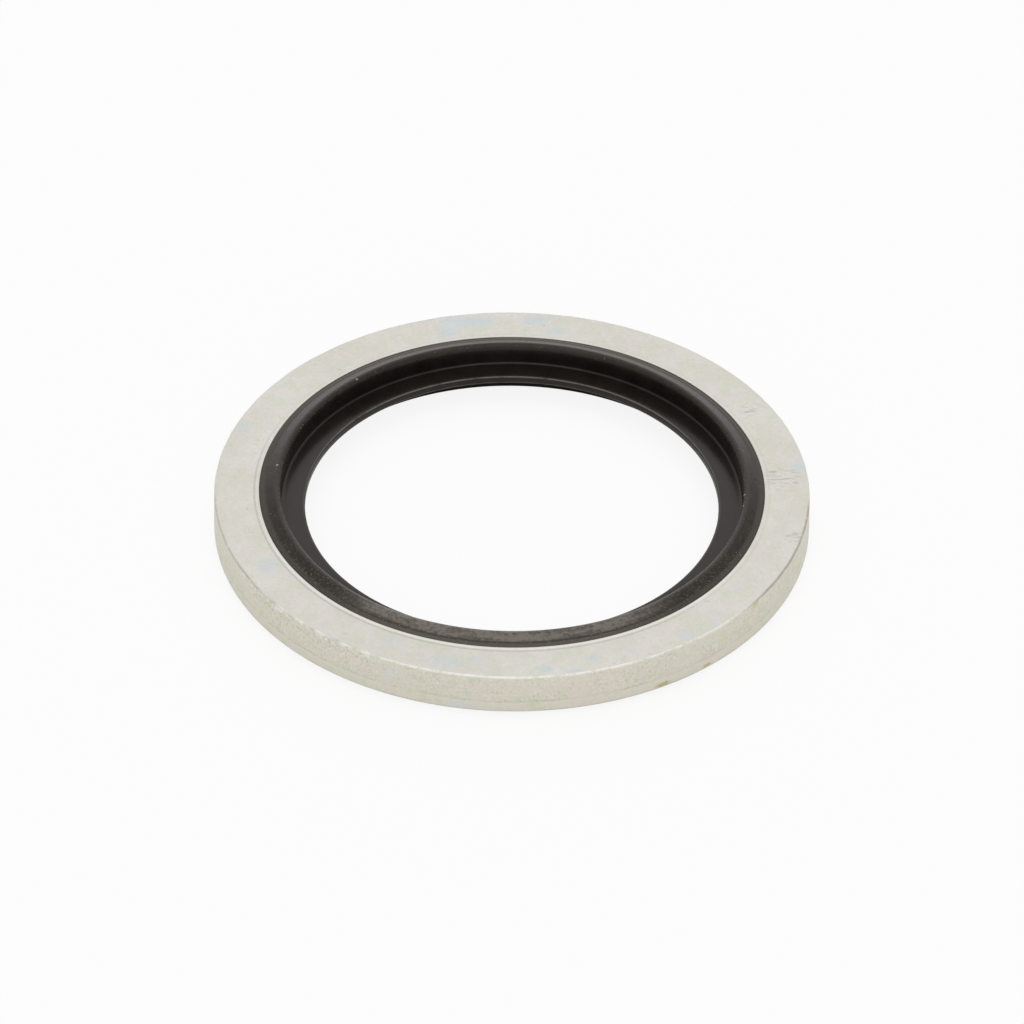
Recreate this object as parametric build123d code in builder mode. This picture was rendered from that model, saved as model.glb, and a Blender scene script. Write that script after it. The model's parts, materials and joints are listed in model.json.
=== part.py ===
from build123d import *
import os
from math import cos, radians, sin

# Bonded sealing washer for a three-quarter inch parallel pipe thread.
# A blanked and plated steel ring carries a moulded rubber seal on its inner wall.
# All sizes are in millimetres. The origin is on the axis at mid height and +Z runs along the axis.
# Both pieces are rings, so each is one section in (radius, height) turned about the axis.

# The widths of the section, from the bore outwards
bore_radius = 12.13
web_width = 1.43
lip_width = 1.24
steel_width = 2.665

# Rubber seal: the thin web at mid height that finds the thread, with a broken edge at the bore
web_thickness = 0.46
web_edge_break = 0.09

# Rubber seal: the lip that stands proud of each steel face.
# Its crest is one arc. It leaves the upright bore wall at a corner, rising outwards at the first slope,
# and turns over into a long flank that falls away outwards at the second.
lip_height = 0.34
crest_round = 0.28
crest_slope = 50.0
flank_slope = 24.0

# From the flank's foot a gentler shoulder runs out to the steel, and ends just proud of the steel face.
shoulder_width = 0.39
shoulder_height = 0.03

# Steel ring: the die rolls the lower outer edge and burnishes a band above it,
# and the rest of the wall tears away with a slight taper up to a sharp, tumbled upper edge.
steel_thickness = 2.50
die_roll = 0.12
burnished_band = 0.60
fracture_taper = 0.04
burr_break = 0.07

# Steel ring: each face rises a little to a low rim beside the rubber.
rim_width = 0.25
rim_height = 0.04

# Radii and heights that follow from the sizes above
lip_bore_radius = bore_radius + web_width
bond_radius = lip_bore_radius + lip_width
shoulder_radius = bond_radius - shoulder_width
outer_radius = bond_radius + steel_width
torn_radius = outer_radius - fracture_taper
rim_radius = bond_radius + rim_width
half_steel = steel_thickness / 2
half_web = web_thickness / 2
rim_top = half_steel + rim_height
roll_top = die_roll - half_steel
burnish_top = roll_top + burnished_band
shoulder_top = half_steel + shoulder_height
crest_rise = crest_round * (1 - cos(radians(crest_slope)))
lip_wall_top = half_steel + lip_height - crest_rise

os.makedirs("parts", exist_ok=True)

# Steel ring, from the lower inner corner round by the outer wall
with BuildPart() as steel_ring:
    with BuildSketch(Plane.XZ):
        with BuildLine():
            Polyline(
                (bond_radius, -rim_top),
                (rim_radius, -half_steel),
                (outer_radius - die_roll, -half_steel),
                (outer_radius, roll_top),
                (outer_radius, burnish_top),
                (torn_radius, half_steel - burr_break),
                (torn_radius - burr_break, half_steel),
                (rim_radius, half_steel),
                (bond_radius, rim_top),
                close=True,
            )
        make_face()
    revolve(axis=Axis.Z)
steel_ring.part.label = "steel_ring"

# Rubber seal: the upper half of the section, from the bore out to the bond, and its mirror image
with BuildPart() as rubber_seal:
    with BuildSketch(Plane.XZ):
        with BuildLine():
            web = Polyline(
                (bore_radius, 0),
                (bore_radius, half_web - web_edge_break),
                (bore_radius + web_edge_break, half_web),
                (lip_bore_radius, half_web),
                (lip_bore_radius, lip_wall_top),
            )
            heading = (cos(radians(crest_slope)), sin(radians(crest_slope)))
            crest = JernArc(web @ 1, heading, crest_round, -(crest_slope + flank_slope))
            flank_run = shoulder_radius - (crest @ 1).X
            flank = PolarLine(crest @ 1, flank_run, -flank_slope, length_mode=LengthMode.HORIZONTAL)
            Polyline(flank @ 1, (bond_radius, shoulder_top), (bond_radius, 0))
            mirror(about=Plane.XZ)
        make_face()
    revolve(axis=Axis.Z)
rubber_seal.part.label = "rubber_seal"

for piece in (steel_ring, rubber_seal):
    export_step(piece.part, f"parts/{piece.part.label}.step")
    print(piece.part.label, "volume", round(piece.part.volume, 2), "mm3")
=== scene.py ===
import json
import math

import bpy
from mathutils import Euler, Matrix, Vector


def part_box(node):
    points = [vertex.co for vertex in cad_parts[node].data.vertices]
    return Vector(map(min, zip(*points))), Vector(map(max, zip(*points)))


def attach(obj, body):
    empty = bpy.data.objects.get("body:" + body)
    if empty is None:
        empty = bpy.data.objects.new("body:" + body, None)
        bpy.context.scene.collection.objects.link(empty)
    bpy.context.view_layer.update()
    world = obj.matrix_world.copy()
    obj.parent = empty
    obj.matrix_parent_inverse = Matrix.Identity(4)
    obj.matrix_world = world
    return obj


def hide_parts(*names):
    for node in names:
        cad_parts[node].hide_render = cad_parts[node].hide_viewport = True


# Bonded sealing washer: a zinc plated steel ring with a moulded black rubber seal on its inner wall.
# It lies flat on the tip of its lower lip. Lengths are in metres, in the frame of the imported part.
MM = 0.001

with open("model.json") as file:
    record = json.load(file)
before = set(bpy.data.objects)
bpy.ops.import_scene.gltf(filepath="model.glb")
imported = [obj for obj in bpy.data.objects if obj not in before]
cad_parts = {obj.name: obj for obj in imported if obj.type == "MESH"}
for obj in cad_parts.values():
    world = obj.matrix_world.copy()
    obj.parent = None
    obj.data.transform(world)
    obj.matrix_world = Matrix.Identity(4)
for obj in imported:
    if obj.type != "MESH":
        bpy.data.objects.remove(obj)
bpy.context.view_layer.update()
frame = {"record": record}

# Sizes read from the frame
steel_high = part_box("steel_ring")[1]
seal_low, seal_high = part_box("rubber_seal")
mounts = {mount["name"]: mount for mount in frame["record"]["mounts"]}
bore_radius = mounts["bore"]["dims"]["r_mm"] * MM
half_steel = mounts["upper_seat"]["pos_m"][2]
outer_radius = steel_high.x
rim_top = steel_high.z
bond_radius = seal_high.x
floor_height = seal_low.z

# Rubber seal
web_width = 1.43 * MM
half_web = 0.23 * MM
web_edge_round = 0.09 * MM
web_root_round = 0.12 * MM
lip_height = 0.34 * MM
lip_corner_round = 0.05 * MM
crest_round = 0.28 * MM
crest_slope = 50.0
flank_slope = 24.0
lip_foot_round = 0.15 * MM
shoulder_width = 0.39 * MM
shoulder_height = 0.03 * MM
groove_inset = 0.13 * MM
groove_half_width = 0.04 * MM
groove_depth = 0.018 * MM
flash_height = 0.012 * MM
lip_bore_radius = bore_radius + web_width
shoulder_radius = bond_radius - shoulder_width
shoulder_top = half_steel + shoulder_height
groove_radius = bond_radius - groove_inset
crest_rise = crest_round * (1 - math.cos(math.radians(crest_slope)))
corner_rise = lip_corner_round * math.cos(math.radians(crest_slope))
lip_wall_top = half_steel + lip_height - crest_rise - corner_rise

# Steel ring
die_roll = 0.12 * MM
burnished_band = 0.60 * MM
fracture_taper = 0.04 * MM
burr_round = 0.07 * MM
rim_width = 0.25 * MM
rim_round = 0.02 * MM
torn_radius = outer_radius - fracture_taper
burnish_top = die_roll - half_steel + burnished_band

# Fineness of the two meshes
steel_steps = 1200
seal_steps = 900


class Pen:
    """Draws half a section in (radius, height), heading a number of degrees up from straight outwards."""

    def __init__(self, radius, height, heading):
        self.points = [Vector((radius, height))]
        self.heading = math.radians(heading)

    def run(self, length, spacing):
        """A straight run, cut into equal rows no longer than the spacing."""
        start = self.points[-1]
        way = Vector((math.cos(self.heading), math.sin(self.heading)))
        rows = max(1, math.ceil(length / spacing - 0.001))
        self.points += [start + way * length * row / rows for row in range(1, rows + 1)]

    def to_radius(self, radius, spacing):
        self.run((radius - self.points[-1].x) / math.cos(self.heading), spacing)

    def to_height(self, height, spacing):
        self.run((height - self.points[-1].y) / math.sin(self.heading), spacing)

    def turn(self, radius, degrees, rows):
        """An arc that turns the heading so many degrees to the left, or to the right if negative."""
        side = math.copysign(radius, degrees)
        angle = math.radians(degrees)
        centre = self.points[-1] + Vector((-math.sin(self.heading), math.cos(self.heading))) * side
        for row in range(1, rows + 1):
            heading = self.heading + angle * row / rows
            self.points.append(centre + Vector((math.sin(heading), -math.cos(heading))) * side)
        self.heading += angle


def seal_outline():
    """The rubber section: out along the web, over the lip to the bond, and its mirror image."""
    pen = Pen(bore_radius, 0, 90)
    pen.to_height(half_web - web_edge_round, 0.06 * MM)
    pen.turn(web_edge_round, -90, 4)
    pen.to_radius(lip_bore_radius - web_root_round, 0.16 * MM)
    pen.turn(web_root_round, 90, 4)
    pen.to_height(lip_wall_top, 0.16 * MM)
    pen.turn(lip_corner_round, crest_slope - 90, 3)
    pen.turn(crest_round, -crest_slope - flank_slope, 7)

    crest_end = pen.points[-1]
    flank = math.radians(flank_slope)
    foot_height = crest_end.y - (shoulder_radius - crest_end.x) * math.tan(flank)
    foot_turn = flank - math.atan2(foot_height - shoulder_top, shoulder_width)
    foot_reach = lip_foot_round * math.tan(foot_turn / 2) * math.cos(flank)
    pen.to_radius(shoulder_radius - foot_reach, 0.12 * MM)
    pen.turn(lip_foot_round, math.degrees(foot_turn), 3)
    pen.to_radius(groove_radius - groove_half_width, 0.15 * MM)
    pen.to_radius(groove_radius + groove_half_width, groove_half_width)
    pen.to_radius(bond_radius, 0.15 * MM)
    pen.heading = math.radians(-90)
    pen.to_height(0, 0.6 * MM)
    upper = pen.points
    lower = [Vector((p.x, -p.y)) for p in reversed(upper[1:-1])]
    return upper + lower


def steel_outline():
    """The steel section: up the bond wall, out along the upper face and round by the outer wall."""
    rim_slope = math.degrees(math.atan2(rim_top - half_steel, rim_width))
    upper = Pen(bond_radius, 0, 90)
    upper.to_height(rim_top - rim_round, 0.7 * MM)
    upper.turn(rim_round, -90 - rim_slope, 4)
    upper.to_height(half_steel, 0.07 * MM)
    upper.turn(0.3 * MM, rim_slope, 2)
    upper.heading = 0
    lower = [Vector((p.x, -p.y)) for p in reversed(upper.points[1:])]
    face = Pen(*upper.points[-1], 0)
    face.to_radius(torn_radius - burr_round, 0.25 * MM)
    face.turn(burr_round, -90, 5)
    face.heading = math.atan2(burnish_top - face.points[-1].y, fracture_taper)
    face.to_height(burnish_top, 0.078 * MM)
    face.heading = math.radians(-90)
    face.to_height(die_roll - half_steel, 0.12 * MM)
    face.turn(die_roll, -90, 5)
    face.to_radius(lower[0].x, 0.25 * MM)
    return upper.points + face.points[1:] + lower[1:]


class Number:
    """A number that varies over a surface. Python's operators on it add Math nodes."""

    def __init__(self, bench, socket):
        self.bench = bench
        self.socket = socket

    def __add__(self, other):
        return self.bench.maths("ADD", self, other)

    def __sub__(self, other):
        return self.bench.maths("SUBTRACT", self, other)

    def __mul__(self, other):
        return self.bench.maths("MULTIPLY", self, other)

    def __truediv__(self, other):
        return self.bench.maths("DIVIDE", self, other)

    def __rsub__(self, other):
        return self.bench.maths("SUBTRACT", other, self)

    def __rtruediv__(self, other):
        return self.bench.maths("DIVIDE", other, self)

    __radd__ = __add__
    __rmul__ = __mul__


class Bench:
    """Adds nodes to one tree, for a material, the world or Geometry Nodes."""

    def __init__(self, tree):
        self.tree = tree
        tree.nodes.clear()

    def add(self, kind, settings=None, sockets=None, output=0):
        """One node with its settings and its sockets' values or links. Gives one of its outputs."""
        node = self.tree.nodes.new(kind)
        for name, value in (settings or {}).items():
            setattr(node, name, value)
        for name, value in (sockets or {}).items():
            value = getattr(value, "socket", value)
            if isinstance(value, bpy.types.NodeSocket):
                self.tree.links.new(value, node.inputs[name])
            else:
                node.inputs[name].default_value = value
        return Number(self, node.outputs[output]) if len(node.outputs) else node

    def maths(self, operation, *values):
        return self.add("ShaderNodeMath", {"operation": operation}, dict(enumerate(values)))

    def vector(self, operation, *values, output=0):
        return self.add("ShaderNodeVectorMath", {"operation": operation}, dict(enumerate(values)), output)

    def scaled(self, vector, factor):
        return self.add("ShaderNodeVectorMath", {"operation": "SCALE"}, {"Vector": vector, "Scale": factor})

    def fade(self, value, start, end):
        """0 up to the start value and 1 from the end value on, with a smooth change between."""
        spans = {"Value": value, "From Min": start, "From Max": end}
        return self.add("ShaderNodeMapRange", {"interpolation_type": "SMOOTHSTEP"}, spans)

    def noise(self, place, scale, detail=2.0, roughness=0.5, seed=0.0, distortion=0.0):
        """Cloudy noise from 0 to 1 about 0.5, with so many blotches to the unit of place."""
        sockets = {"Vector": place, "W": seed, "Scale": scale, "Detail": detail,
                   "Roughness": roughness, "Distortion": distortion}
        return self.add("ShaderNodeTexNoise", {"noise_dimensions": "4D"}, sockets)

    def blend(self, amount, under, over, how="MIX"):
        """One colour laid over another."""
        settings = {"data_type": "RGBA", "blend_type": how}
        return self.add("ShaderNodeMix", settings, {0: amount, 6: under, 7: over}, 2)


def turned_ring(name, outline, steps, sizes, relief, material):
    """Sweeps an outline round the axis, then raises and lowers the surface by the relief."""
    section = bpy.data.meshes.new(name + "_section")
    links = [(k, (k + 1) % len(outline)) for k in range(len(outline))]
    section.from_pydata([(p.x, 0, p.y) for p in outline], links, [])
    piece = bpy.data.objects.new(name, section)
    bpy.context.scene.collection.objects.link(piece)

    tree = bpy.data.node_groups.new(name + "_turning", "GeometryNodeTree")
    tree.interface.new_socket("Ring", in_out="OUTPUT", socket_type="NodeSocketGeometry")
    tree.interface.new_socket("Section", in_out="INPUT", socket_type="NodeSocketGeometry")
    values = {"Steps round": steps, "Rail radius": bore_radius, "Finish": material, **sizes}
    kinds = {"Steps round": "NodeSocketInt", "Finish": "NodeSocketMaterial"}
    keys = {}
    for label in values:
        kind = kinds.get(label, "NodeSocketFloat")
        keys[label] = tree.interface.new_socket(label, in_out="INPUT", socket_type=kind).identifier

    bench = Bench(tree)
    entry = tree.nodes.new("NodeGroupInput")
    size = {label: Number(bench, entry.outputs[label]) for label in values}
    rail = bench.add("GeometryNodeCurvePrimitiveCircle", {},
                     {"Resolution": size["Steps round"], "Radius": size["Rail radius"]})
    profile = bench.add("GeometryNodeMeshToCurve", {}, {0: entry.outputs["Section"]})
    offset = bench.add("ShaderNodeCombineXYZ", {}, {"X": 0 - size["Rail radius"]})
    laid = bench.add("GeometryNodeTransform", {}, {"Geometry": profile, "Translation": offset,
                                                   "Rotation": Euler((math.pi / 2, 0, 0))})
    swept = bench.add("GeometryNodeCurveToMesh", {}, {"Curve": rail, "Profile Curve": laid})
    place = bench.add("GeometryNodeInputPosition")
    normal = bench.add("GeometryNodeInputNormal")
    raised = bench.add("GeometryNodeSetPosition", {},
                       {"Geometry": swept, "Offset": bench.scaled(normal, relief(bench, place, size))})
    smooth = bench.add("GeometryNodeSetShadeSmooth", {}, {"Geometry": raised})
    real = bench.add("GeometryNodeRealizeInstances", {}, {"Geometry": smooth})
    done = bench.add("GeometryNodeSetMaterial", {}, {"Geometry": real, "Material": size["Finish"]})
    bench.add("NodeGroupOutput", {}, {"Ring": done})

    turning = piece.modifiers.new("Turning", "NODES")
    turning.node_group = tree
    for label, value in values.items():
        turning[keys[label]] = value
    evaluated = piece.evaluated_get(bpy.context.evaluated_depsgraph_get())
    piece.data = bpy.data.meshes.new_from_object(evaluated)
    piece.modifiers.remove(turning)
    return piece


def radius_and_height(bench, place):
    """Distance from the axis and height of a place."""
    split = bench.add("ShaderNodeSeparateXYZ", {}, {"Vector": place}).socket.node
    height = Number(bench, split.outputs["Z"])
    flat = bench.add("ShaderNodeCombineXYZ", {}, {"X": split.outputs["X"], "Y": split.outputs["Y"]})
    return bench.vector("LENGTH", flat, output=1), height


def facing(bench, place, degrees, start, end):
    """0 to 1 as a place comes towards one side of the ring, between two cosines of its angle to it."""
    angle = math.radians(degrees)
    split = bench.add("ShaderNodeSeparateXYZ", {}, {"Vector": place}).socket.node
    x, y = (Number(bench, split.outputs[axis]) for axis in "XY")
    across = x * math.cos(angle) + y * math.sin(angle)
    reach = bench.maths("SQRT", x * x + y * y)
    return bench.fade(across / reach, start, end)


def band(bench, value, middle, half_width):
    """1 in the middle of a band of values and 0 at its edges and beyond."""
    return 1 - bench.fade(bench.maths("ABSOLUTE", value - middle), 0.0, half_width)


def steel_relief(bench, place, size):
    """A rough torn band on the outer wall, a ragged upper edge and slightly uneven faces."""
    radius, height = radius_and_height(bench, place)
    on_wall = bench.fade(radius, size["Outer radius"] - 0.16 * MM, size["Outer radius"] - 0.05 * MM)
    on_torn = on_wall * bench.fade(height, size["Burnish top"] - 0.03 * MM, size["Burnish top"] + 0.10 * MM)
    edge = on_wall * bench.fade(height, size["Half height"] - 0.2 * MM, size["Half height"] - 0.03 * MM)
    tears = bench.noise(place, 2.2 / MM, 3.0, 0.6, size["Seed"])
    ragged = bench.noise(place, 1.1 / MM, 2.0, 0.6, size["Seed"] + 4)
    uneven = bench.noise(place, 0.25 / MM, 1.0, 0.5, size["Seed"] + 9)
    chipped = 1 + 1.6 * facing(bench, place, chipped_side, 0.90, 0.98)
    return (on_torn * (tears - 0.6) * size["Tear depth"]
            + edge * (ragged - 0.56) * size["Edge raggedness"] * chipped
            + (uneven - 0.5) * size["Unevenness"])


def seal_relief(bench, place, size):
    """A thin flash round the bore, a shallow broken groove near the steel and slight unevenness."""
    radius, height = radius_and_height(bench, place)
    at_bore = 1 - bench.fade(radius, size["Bore radius"], size["Bore radius"] + 0.05 * MM)
    at_parting = 1 - bench.fade(bench.maths("ABSOLUTE", height), 0.0, 0.05 * MM)
    broken = bench.fade(bench.noise(place, 0.8 / MM, 2.0, 0.5, size["Seed"]), 0.35, 0.6)
    uneven = bench.noise(place, 0.4 / MM, 2.0, 0.5, size["Seed"] + 3)
    off_groove = bench.maths("ABSOLUTE", radius - size["Groove radius"])
    in_groove = 1 - bench.fade(off_groove, 0.0, groove_half_width)
    on_faces = bench.fade(bench.maths("ABSOLUTE", height), half_steel - 0.05 * MM, half_steel)
    patchy = bench.fade(bench.noise(place, 0.15 / MM, 2.0, 0.5, size["Seed"] + 6), 0.35, 0.6)
    return (at_bore * at_parting * broken * size["Flash height"]
            - in_groove * on_faces * patchy * size["Groove depth"]
            + (uneven - 0.5) * size["Unevenness"])


def millimetres(bench):
    """The place on the surface, in millimetres, and its radius and height."""
    place = bench.scaled(bench.add("ShaderNodeTexCoord", output="Object"), 1 / MM)
    radius, height = radius_and_height(bench, place)
    return place, radius, height


def on_ring(degrees, radius, height):
    """A point in millimetres, by its angle round the axis from +X."""
    angle = math.radians(degrees)
    return radius * math.cos(angle), radius * math.sin(angle), height


def spot(bench, place, centre, reach, stretch=(1, 1, 1), ragged=0.6, core=0.45):
    """1 within the core's share of its reach and 0 beyond it, with a ragged outline. All in millimetres."""
    ruffle = bench.noise(place, 1.2 / reach, 3.0, 0.65, centre[0]) - 0.5
    apart = bench.vector("MULTIPLY", bench.vector("SUBTRACT", place, centre), stretch)
    distance = bench.vector("LENGTH", apart, output=1) / reach + ruffle * 2 * ragged
    return 1 - bench.fade(distance, core, 1.0)


def new_material(name):
    material = bpy.data.materials.new(name)
    material.use_nodes = True
    return material, Bench(material.node_tree)


def finish_surface(bench, sockets, height, bump_distance):
    """The shader of one finish, with its fine grain as bump."""
    bump = bench.add("ShaderNodeBump", {}, {"Height": height, "Distance": bump_distance, "Strength": 1.0})
    shader = bench.add("ShaderNodeBsdfPrincipled", {}, {**sockets, "Normal": bump})
    bench.add("ShaderNodeOutputMaterial", {}, {"Surface": shader})


def zinc_plate():
    """Clear zinc plate: pale warm grey and satin, with faint films of colour, sandy on the outer wall."""
    material, bench = new_material("zinc_plate")
    place, radius, height = millimetres(bench)
    outer = outer_radius / MM
    half = half_steel / MM
    bond = bond_radius / MM
    wall = bench.fade(radius, outer - 0.12, outer - 0.05)
    torn = wall * bench.fade(height, burnish_top / MM - 0.05, burnish_top / MM + 0.05)

    # The faces: clouds of a few millimetres, fainter tints of about one, and a fine grain
    clouds = bench.noise(place, 0.35, 4.0, 0.6, 1)
    colour = bench.blend(bench.fade(clouds, 0.35, 0.65), plate_dull, plate_bright)
    haze = bench.noise(place, 0.22, 3.0, 0.6, 5, 0.6)
    colour = bench.blend(bench.fade(haze, 0.55, 0.75) * 0.5, colour, film_pink)
    tints = bench.noise(place, 0.9, 4.0, 0.65, 31, 0.4)
    colour = bench.blend(bench.fade(tints, 0.52, 0.62) * 0.8, colour, plate_rosy)
    colour = bench.blend((1 - bench.fade(tints, 0.38, 0.48)) * 0.8, colour, plate_green)
    pits = bench.noise(place, 3.4, 3.0, 0.7, 35)
    colour = bench.blend(bench.fade(pits, 0.58, 0.72) * 0.55, colour, plate_grain)
    colour = bench.blend((1 - bench.fade(pits, 0.30, 0.40)) * 0.5, colour, rim_bright)
    for film, (degrees, at, reach, stretch, strength) in blue_films.items():
        centre = on_ring(degrees, at, half)
        spread = spot(bench, place, centre, reach * film_spread, stretch, film_raggedness, film_core)
        colour = bench.blend(spread * strength * film_strength, colour, film_blue)
    grain = bench.noise(place, 5.0, 3.0, 0.7, 2)
    colour = bench.blend(bench.fade(grain, 0.3, 0.7) * 0.20, colour, plate_grain)

    # Short handling scratches on the right, along X
    strokes = bench.noise(bench.vector("MULTIPLY", place, (1.6, 11.0, 1.0)), 1.0, 2.0, 0.5, 40)
    handled = 0.0
    for degrees, at, reach in scratched_places:
        handled = bench.maths("MAXIMUM", handled, spot(bench, place, on_ring(degrees, at, half), reach))
    scratches = handled * bench.fade(strokes, 0.54, 0.62)
    colour = bench.blend(scratches * 0.5, colour, scratch_and_shade_grey)

    # Painted highlight on the rim beside the rubber, strongest on the near side, and a faint ring of painted
    # shade outside it, strongest on the near left
    by_side = 0.15 + 0.85 * facing(bench, place, rim_highlight_side, 0.2, 0.6)
    rim_highlight = band(bench, radius, bond + 0.12, 0.09) * by_side
    colour = bench.blend(rim_highlight * 0.7, colour, rim_bright)
    # The ring of painted shade just outside the rim
    by_side = 0.25 + 0.75 * facing(bench, place, rim_shade_side, 0.15, 0.45)
    rim_shade = band(bench, radius, bond + 0.29, 0.10) * by_side
    colour = bench.blend(rim_shade * 0.42, colour, scratch_and_shade_grey)

    # The wall: sandy, in warm tints, with broken dark lines above the burnished band and at the foot
    sand = bench.noise(place, 6.0, 3.0, 0.75, 8)
    tint = bench.noise(place, 1.9, 4.0, 0.7, 14)
    shade = bench.noise(place, 0.8, 3.0, 0.6, 18)
    colour = bench.blend(wall * 0.9, colour, wall_base)
    colour = bench.blend((wall - torn) * 0.4, colour, wall_pale)
    colour = bench.blend(wall * bench.fade(tint, 0.51, 0.62) * 0.8, colour, wall_pink)
    colour = bench.blend(wall * (1 - bench.fade(tint, 0.39, 0.49)) * 0.8, colour, wall_green)
    gritty = torn * (0.35 + 0.65 * bench.fade(shade, 0.40, 0.60))
    pitted = facing(bench, place, chipped_side, 0.90, 0.98) * bench.fade(height, 0.1, 0.7)
    gritty = bench.maths("MAXIMUM", gritty, torn * pitted * 1.2)
    colour = bench.blend(gritty * bench.fade(sand, 0.48, 0.66) * 0.52, colour, wall_dark_tone)
    colour = bench.blend(torn * (1 - bench.fade(sand, 0.34, 0.44)) * 0.6, colour, edge_bright)
    seam = band(bench, height + (tint - 0.5) * 0.4, burnish_top / MM + 0.06, 0.07) * wall
    seam = seam * (0.2 + 0.8 * bench.fade(shade, 0.42, 0.58))
    foot = band(bench, height, 0.11 - half, 0.06) * bench.fade(tint, 0.42, 0.56)
    colour = bench.blend(seam * 0.38 + foot * 0.30, colour, wall_dark_tone)
    for stain, (degrees, at, reach, stretch, strength, mark) in wall_marks.items():
        centre = on_ring(degrees, outer, at)
        spread = spot(bench, place, centre, reach * mark_spread, stretch, mark_raggedness, mark_core)
        colour = bench.blend(wall * spread * strength, colour, mark)

    # The upper outer edge: a broken painted highlight along it in front, bright chips on the chipped side,
    # and thin lines of painted shade towards the sides
    broken = bench.noise(place, 1.6, 3.0, 0.7, 21)
    edge = bench.fade(radius, outer - 0.19, outer - 0.11) * bench.fade(height, half - 0.14, half - 0.06)
    chips = pitted * wall * bench.fade(height, half - 0.50, half - 0.15) * bench.fade(broken, 0.50, 0.57)
    in_front = facing(bench, place, near_side, 0.5, 0.7)
    edge_highlight_and_chips = bench.maths("MAXIMUM", edge * in_front * bench.fade(broken, 0.36, 0.54), chips * 0.8)
    colour = bench.blend(edge_highlight_and_chips * 0.9, colour, edge_bright)
    # Painted shade: thin dark lines along the upper edge beside the front, stronger on the right
    beside = facing(bench, place, near_side, 0.02, 0.12) * (1 - in_front)
    on_right = 0.35 + 0.35 * facing(bench, place, right_side, -0.1, 0.1)
    colour = bench.blend(edge * beside * on_right * bench.fade(broken, 0.30, 0.46), colour, scratch_and_shade_grey)

    relief = bench.noise(place, 9.0, 3.0, 0.7, 3) + torn * sand * 1.2 - scratches
    sockets = {"Base Color": colour, "Metallic": plate_metallic, "Roughness": plate_roughness + 0.12 * grain}
    finish_surface(bench, sockets, relief, 0.012 * MM)
    return material


def black_rubber():
    """Moulded nitrile rubber: brown-black and satin, with dust on the shoulder, and web edges lightened
    partly by wear and partly as a painted highlight.
    """
    material, bench = new_material("black_rubber")
    place, radius, height = millimetres(bench)
    half = half_steel / MM
    shoulder = shoulder_radius / MM
    clouds = bench.noise(place, 0.8, 4.0, 0.65, 1)
    colour = bench.blend(bench.fade(clouds, 0.35, 0.65), rubber_dark, rubber_grey)
    near = facing(bench, place, bloom_side, 0.70, 0.94)
    specks = bench.noise(place, 7.0, 2.0, 0.6, 17)
    mottles = bench.noise(place, 2.6, 4.0, 0.7, 23)

    # Browner on the lip than in the bore, and dusty on the shoulder beside the steel, most on the near side
    on_faces = bench.fade(height, half - 0.05, half + 0.01)
    on_web = band(bench, height, half_web / MM, 0.04)
    colour = bench.blend(on_faces * (0.4 + 0.6 * clouds) + on_web * 0.2, colour, rubber_brown)
    colour = bench.blend(on_faces * bench.fade(mottles, 0.50, 0.62) * 0.7, colour, rubber_dark)
    on_shoulder = on_faces * bench.fade(radius, shoulder + 0.02, shoulder + 0.16)
    colour = bench.blend(on_shoulder * (0.6 + 0.4 * specks), colour, rubber_dust)
    colour = bench.blend(on_shoulder * near * 0.30, colour, rubber_bloom)

    # A bloom along the near lip, streaked along the ring, from the crest to the flank's foot
    split = bench.add("ShaderNodeSeparateXYZ", {}, {"Vector": place}).socket.node
    along = bench.maths("ARCTAN2", Number(bench, split.outputs["X"]), 0 - Number(bench, split.outputs["Y"]))
    unrolled = bench.add("ShaderNodeCombineXYZ", {},
                         {"X": along * 6.0, "Y": radius * 3.0, "Z": height * 2.0})
    streaks = bench.noise(unrolled, 1.0, 6.0, 0.78, 7)
    past_corner = bench.fade(height, half + 0.02, half + 0.20)
    before_foot = 1 - bench.fade(radius, shoulder - 0.07, shoulder + 0.05)
    bloom = near * past_corner * before_foot * (0.30 + 1.0 * bench.fade(streaks, 0.34, 0.64))
    bloom = bloom * (0.55 + 0.8 * bench.fade(bench.noise(place, 4.5, 3.0, 0.7, 9), 0.34, 0.62))
    colour = bench.blend(bench.maths("MINIMUM", bloom, 1.0), colour, rubber_bloom)

    # Fine dust on the lip, more of it on the near half, web edges lightened partly by wear and partly as a
    # painted highlight, most on the far side, and a few larger specks
    on_lip = bench.fade(height, half, half + 0.1)
    near_half = facing(bench, place, near_side, 0.1, 0.7)
    colour = bench.blend(on_lip * bench.fade(specks, 0.64, 0.74) * 0.32, colour, speck_white)
    colour = bench.blend(on_lip * near_half * bench.fade(specks, 0.48, 0.66) * 0.24, colour, rubber_bloom)
    # Wear and painted highlight along the upper and lower edges of the web at the bore
    upper_edge = band(bench, height, half_web / MM - 0.01, 0.035)
    lower_edge = band(bench, height, -half_web / MM + 0.10, 0.035)
    at_bore = 1 - bench.fade(radius, bore_radius / MM + 0.09, bore_radius / MM + 0.14)
    edge_wear_and_highlight = (upper_edge + lower_edge) * at_bore * bench.fade(clouds, 0.30, 0.50)
    edge_wear_and_highlight = edge_wear_and_highlight * (0.3 + 0.5 * facing(bench, place, far_side, 0.0, 0.6))
    colour = bench.blend(edge_wear_and_highlight, colour, rubber_wear_and_highlight)
    for speck, (degrees, at, above, reach, mark) in lip_specks.items():
        spread = spot(bench, place, on_ring(degrees, at, half + above), reach)
        colour = bench.blend(spread * 0.9, colour, mark)

    grain = bench.noise(place, 8.0, 3.0, 0.7, 2)
    roughness = rubber_roughness + 0.07 * grain + 0.08 * clouds + 0.06 * mottles
    sockets = {"Base Color": colour, "Roughness": roughness, "IOR": rubber_ior, "Specular Tint": rubber_gloss}
    finish_surface(bench, sockets, grain + 0.5 * clouds, 0.005 * MM)
    return material


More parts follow.
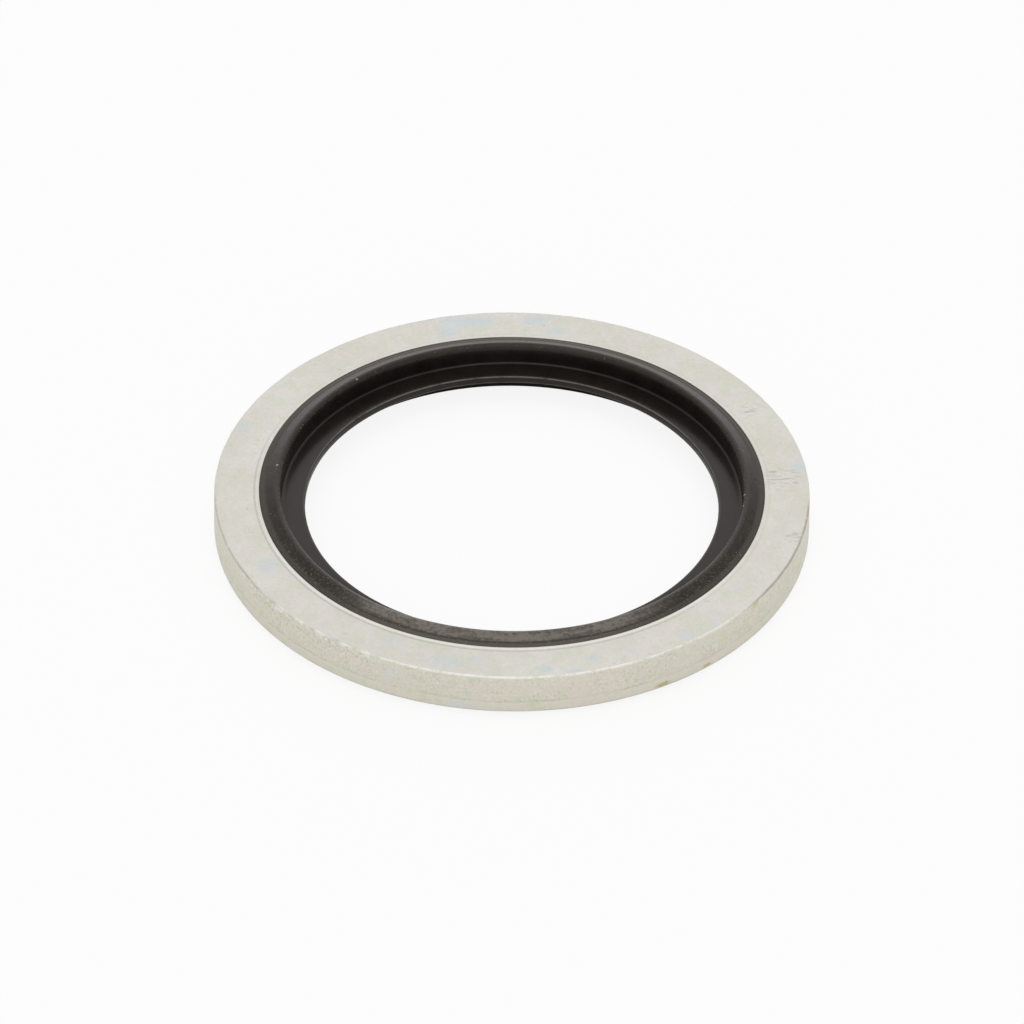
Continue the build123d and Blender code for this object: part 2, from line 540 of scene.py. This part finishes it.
def seen_directly(bench):
    """1 for what the camera sees, straight, mirrored or through glass, and 0 for what only gives light."""
    path = bench.add("ShaderNodeLightPath").socket.node
    rays = ("Is Camera Ray", "Is Glossy Ray", "Is Transmission Ray")
    camera, glossy, through = (path.outputs[ray] for ray in rays)
    return bench.maths("MAXIMUM", bench.maths("MAXIMUM", camera, glossy), through), Number(bench, camera)


def white_floor():
    """A plain white floor, which keeps a faint shadow of the washer."""
    material, bench = new_material("white_floor")
    lit = bench.add("ShaderNodeBsdfDiffuse", {}, {"Color": floor_lit})
    shadowed = bench.add("ShaderNodeBsdfDiffuse", {}, {"Color": (1, 1, 1, 1)})
    bright = bench.add("ShaderNodeEmission", {}, {"Color": (1, 1, 1, 1), "Strength": 1.0})
    seen, by_camera = seen_directly(bench)
    white = bench.add("ShaderNodeMixShader", {}, {0: by_camera * floor_glow, 1: shadowed, 2: bright})
    surface = bench.add("ShaderNodeMixShader", {}, {0: seen, 1: lit, 2: white})
    bench.add("ShaderNodeOutputMaterial", {}, {"Surface": surface})
    mesh = bpy.data.meshes.new("floor")
    ends = (-floor_reach, floor_reach)
    corners = [(ends[x], ends[y], floor_height) for x, y in ((0, 0), (1, 0), (1, 1), (0, 1))]
    mesh.from_pydata(corners, [], [(0, 1, 2, 3)])
    mesh.materials.append(material)
    floor = bpy.data.objects.new("floor", mesh)
    bpy.context.scene.collection.objects.link(floor)


def studio_light():
    """A soft tent: a bright band overhead from back to front, dimmer sides and a white horizon."""
    world = bpy.data.worlds.new("studio")
    world.use_nodes = True
    bench = Bench(world.node_tree)
    direction = bench.add("ShaderNodeTexCoord", output="Generated")
    split = bench.add("ShaderNodeSeparateXYZ", {}, {"Vector": direction}).socket.node
    sideways = bench.maths("ABSOLUTE", Number(bench, split.outputs["X"]))
    overhead = 1 - bench.fade(sideways, band_core, band_edge)
    horizon = 1 - bench.fade(Number(bench, split.outputs["Z"]), horizon_start, horizon_end)
    strength = bench.maths("MAXIMUM", side_strength + overhead * (band_strength - side_strength), horizon)
    tent = bench.add("ShaderNodeBackground", {}, {"Color": (1, 1, 1, 1), "Strength": strength})
    bench.add("ShaderNodeOutputWorld", {}, {"Surface": tent})
    bpy.context.scene.world = world


def camera_at_photo_angle():
    """A long lens that looks down over the near side, with the washer's slight turn in the picture."""
    lens = bpy.data.cameras.new("camera")
    lens.sensor_width = sensor_width
    lens.lens = focal_pixels / picture_width * lens.sensor_width
    lens.shift_x = -axis_offset[0] / picture_width
    lens.shift_y = axis_offset[1] / picture_width
    camera = bpy.data.objects.new("camera", lens)
    rise = math.radians(camera_elevation)
    back = Vector((0, -math.cos(rise), math.sin(rise)))
    turn = back.to_track_quat("Z", "Y").to_matrix() @ Euler((0, 0, math.radians(camera_roll))).to_matrix()
    camera.matrix_world = turn.to_4x4()
    camera.location = back * camera_distance
    bpy.context.scene.collection.objects.link(camera)
    bpy.context.scene.camera = camera


# Camera: the axis of the washer shows a little above the middle of the picture
picture_width = 1024
sensor_width = 36.0
camera_elevation = 38.02
camera_roll = 0.594
camera_distance = 340 * MM
pixels_to_the_mm = 17.0434
focal_pixels = pixels_to_the_mm * camera_distance / MM
axis_offset = (-0.16, -7.81)

# Light: the band's edges are sideways parts of a direction, and the horizon's are upward parts
band_strength = 1.04
side_strength = 0.58
band_core = 0.36
band_edge = 0.54
horizon_start = 0.03
horizon_end = 0.14

# Floor: how far it reaches each way, its colour as a light source and how much of it glows to the camera
floor_reach = 1.5
floor_lit = (0.8, 0.8, 0.8, 1)
floor_glow = 0.88

# The plate's metallic share, its least roughness and its colours
plate_metallic = 0.8
plate_roughness = 0.36
plate_dull = (0.70, 0.68, 0.605, 1)
plate_bright = (0.75, 0.735, 0.68, 1)
plate_rosy = (0.76, 0.71, 0.675, 1)
plate_green = (0.69, 0.705, 0.60, 1)
plate_grain = (0.54, 0.52, 0.46, 1)
# Dark grey for the scratches, and for painted shade beside the rim and along the upper edge
scratch_and_shade_grey = (0.38, 0.37, 0.33, 1)
film_pink = (0.72, 0.69, 0.70, 1)
film_blue = (0.60, 0.68, 0.75, 1)
rim_bright = (0.88, 0.87, 0.83, 1)
edge_bright = (0.94, 0.92, 0.86, 1)
wall_base = (0.82, 0.795, 0.685, 1)
wall_pale = (0.88, 0.86, 0.77, 1)
wall_pink = (0.84, 0.76, 0.69, 1)
wall_green = (0.75, 0.76, 0.60, 1)
wall_dark_tone = (0.52, 0.475, 0.37, 1)
wall_blue = (0.76, 0.79, 0.82, 1)
wall_brown = (0.60, 0.48, 0.22, 1)
wall_olive = (0.62, 0.62, 0.36, 1)

# The rubber's least roughness, its refractive index and its colours
rubber_roughness = 0.11
rubber_ior = 1.42
rubber_gloss = (1.0, 0.925, 0.86, 1)
rubber_dark = (0.0068, 0.0057, 0.0050, 1)
rubber_grey = (0.0120, 0.0100, 0.0088, 1)
rubber_brown = (0.0290, 0.0225, 0.0160, 1)
rubber_dust = (0.040, 0.030, 0.020, 1)
rubber_bloom = (0.192, 0.171, 0.148, 1)
rubber_wear_and_highlight = (0.16, 0.15, 0.13, 1)
speck_white = (0.45, 0.43, 0.40, 1)
speck_blue = (0.10, 0.115, 0.13, 1)
speck_brown = (0.12, 0.075, 0.045, 1)

# Sides of the ring, in degrees from +X: the camera looks from the near side
near_side = 270
far_side = 90
right_side = 0
rim_highlight_side = 262
bloom_side = 268
rim_shade_side = 236
chipped_side = 226

# Where short scratches lie on the upper face: angle, radius and reach
scratched_places = ((4, 15.85, 1.4), (-15, 16.9, 0.6), (29, 16.1, 0.8))

# Pale blue films on the upper face: angle, radius, reach, stretch of the distances and strength
blue_films = {
    "far_left_strip": (99.5, 16.6, 1.5, (0.7, 2.2, 1), 0.8),
    "far_left_patch": (104.5, 15.9, 0.9, (0.9, 0.9, 1), 0.8),
    "far_right": (85.3, 16.7, 0.9, (0.8, 1.5, 1), 0.8),
    "far_inner": (81.0, 15.6, 0.7, (0.8, 1.1, 1), 0.6),
    "left": (161, 17.0, 0.6, (1, 0.8, 1), 0.5),
    "right": (8, 17.0, 0.8, (1.3, 0.7, 1), 0.6),
    "near_left": (208.5, 15.95, 0.7, (1, 0.8, 1), 0.6),
    "near_left_inner": (245, 15.9, 0.7, (0.7, 1.2, 1), 0.4),
    "near_pale": (257, 16.5, 0.9, (0.7, 1.1, 1), 0.5),
    "near_inner": (263, 16.0, 0.5, (0.7, 1.3, 1), 0.5),
    "near": (277, 16.7, 0.45, (0.8, 1.1, 1), 0.7),
    "near_outer": (282, 17.15, 0.45, (0.8, 1.4, 1), 0.7),
    "near_right": (286.6, 16.3, 0.5, (0.8, 1.1, 1), 0.6),
    "near_right_small": (294.5, 16.4, 0.4, (0.8, 1.1, 1), 0.5),
    "right_edge": (306.5, 16.9, 0.5, (0.8, 1.0, 1), 0.6),
    "right_edge_small": (313, 17.1, 0.4, (0.9, 0.9, 1), 0.5),
    "right_inner": (324, 15.9, 0.5, (1, 1, 1), 0.4),
}

# How far the blue films and the marks on the wall spread, and how ragged and how solid they are
film_spread = 1.2
film_raggedness = 0.9
film_core = 0.1
film_strength = 0.85
mark_spread = 1.1
mark_raggedness = 1.0
mark_core = 0.25

# Marks on the outer wall: angle, height, reach, stretch of the distances, strength and colour
wall_marks = {
    "blue_smear": (247, 0.45, 0.35, (1.4, 1.4, 0.7), 0.8, wall_blue),
    "blue_foot": (260, -0.95, 0.9, (0.7, 0.7, 3.0), 0.6, wall_blue),
    "brown_left": (300, -1.0, 0.36, (0.6, 0.6, 1.6), 0.85, wall_brown),
    "brown_right": (310, -1.0, 0.27, (0.6, 0.6, 1.6), 0.75, wall_brown),
    "rosy": (283, -0.3, 1.8, (0.8, 0.8, 1.6), 0.5, wall_pink),
    "olive": (323.4, 1.05, 0.35, (0.8, 0.8, 1.0), 0.6, wall_olive),
}

# Specks and blotches on the lip: angle, radius, height above the steel, reach and colour
lip_specks = {
    "white_left": (173.8, 13.89, 0.32, 0.10, speck_white),
    "white_right": (356.5, 13.60, 0.26, 0.09, speck_white),
    "white_right_small": (352.1, 13.62, 0.27, 0.06, speck_white),
    "white_far": (133.1, 13.69, 0.32, 0.08, speck_white),
    "blue_near": (294.3, 13.72, 0.33, 0.28, speck_blue),
    "brown_near": (289.2, 13.73, 0.33, 0.14, speck_brown),
}

plated_ring = turned_ring(
    "plated_ring", steel_outline(), steel_steps,
    {"Outer radius": outer_radius, "Burnish top": burnish_top, "Half height": half_steel, "Seed": 3.0,
     "Tear depth": 0.05 * MM, "Edge raggedness": 0.08 * MM, "Unevenness": 0.008 * MM},
    steel_relief, zinc_plate())
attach(plated_ring, "root")
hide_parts("steel_ring")

moulded_seal = turned_ring(
    "moulded_seal", seal_outline(), seal_steps,
    {"Bore radius": bore_radius, "Groove radius": groove_radius, "Groove depth": groove_depth,
     "Seed": 11.0, "Flash height": flash_height, "Unevenness": 0.01 * MM},
    seal_relief, black_rubber())
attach(moulded_seal, "root")
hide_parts("rubber_seal")

white_floor()
studio_light()
camera_at_photo_angle()

bpy.context.scene.view_settings.view_transform = "Standard"
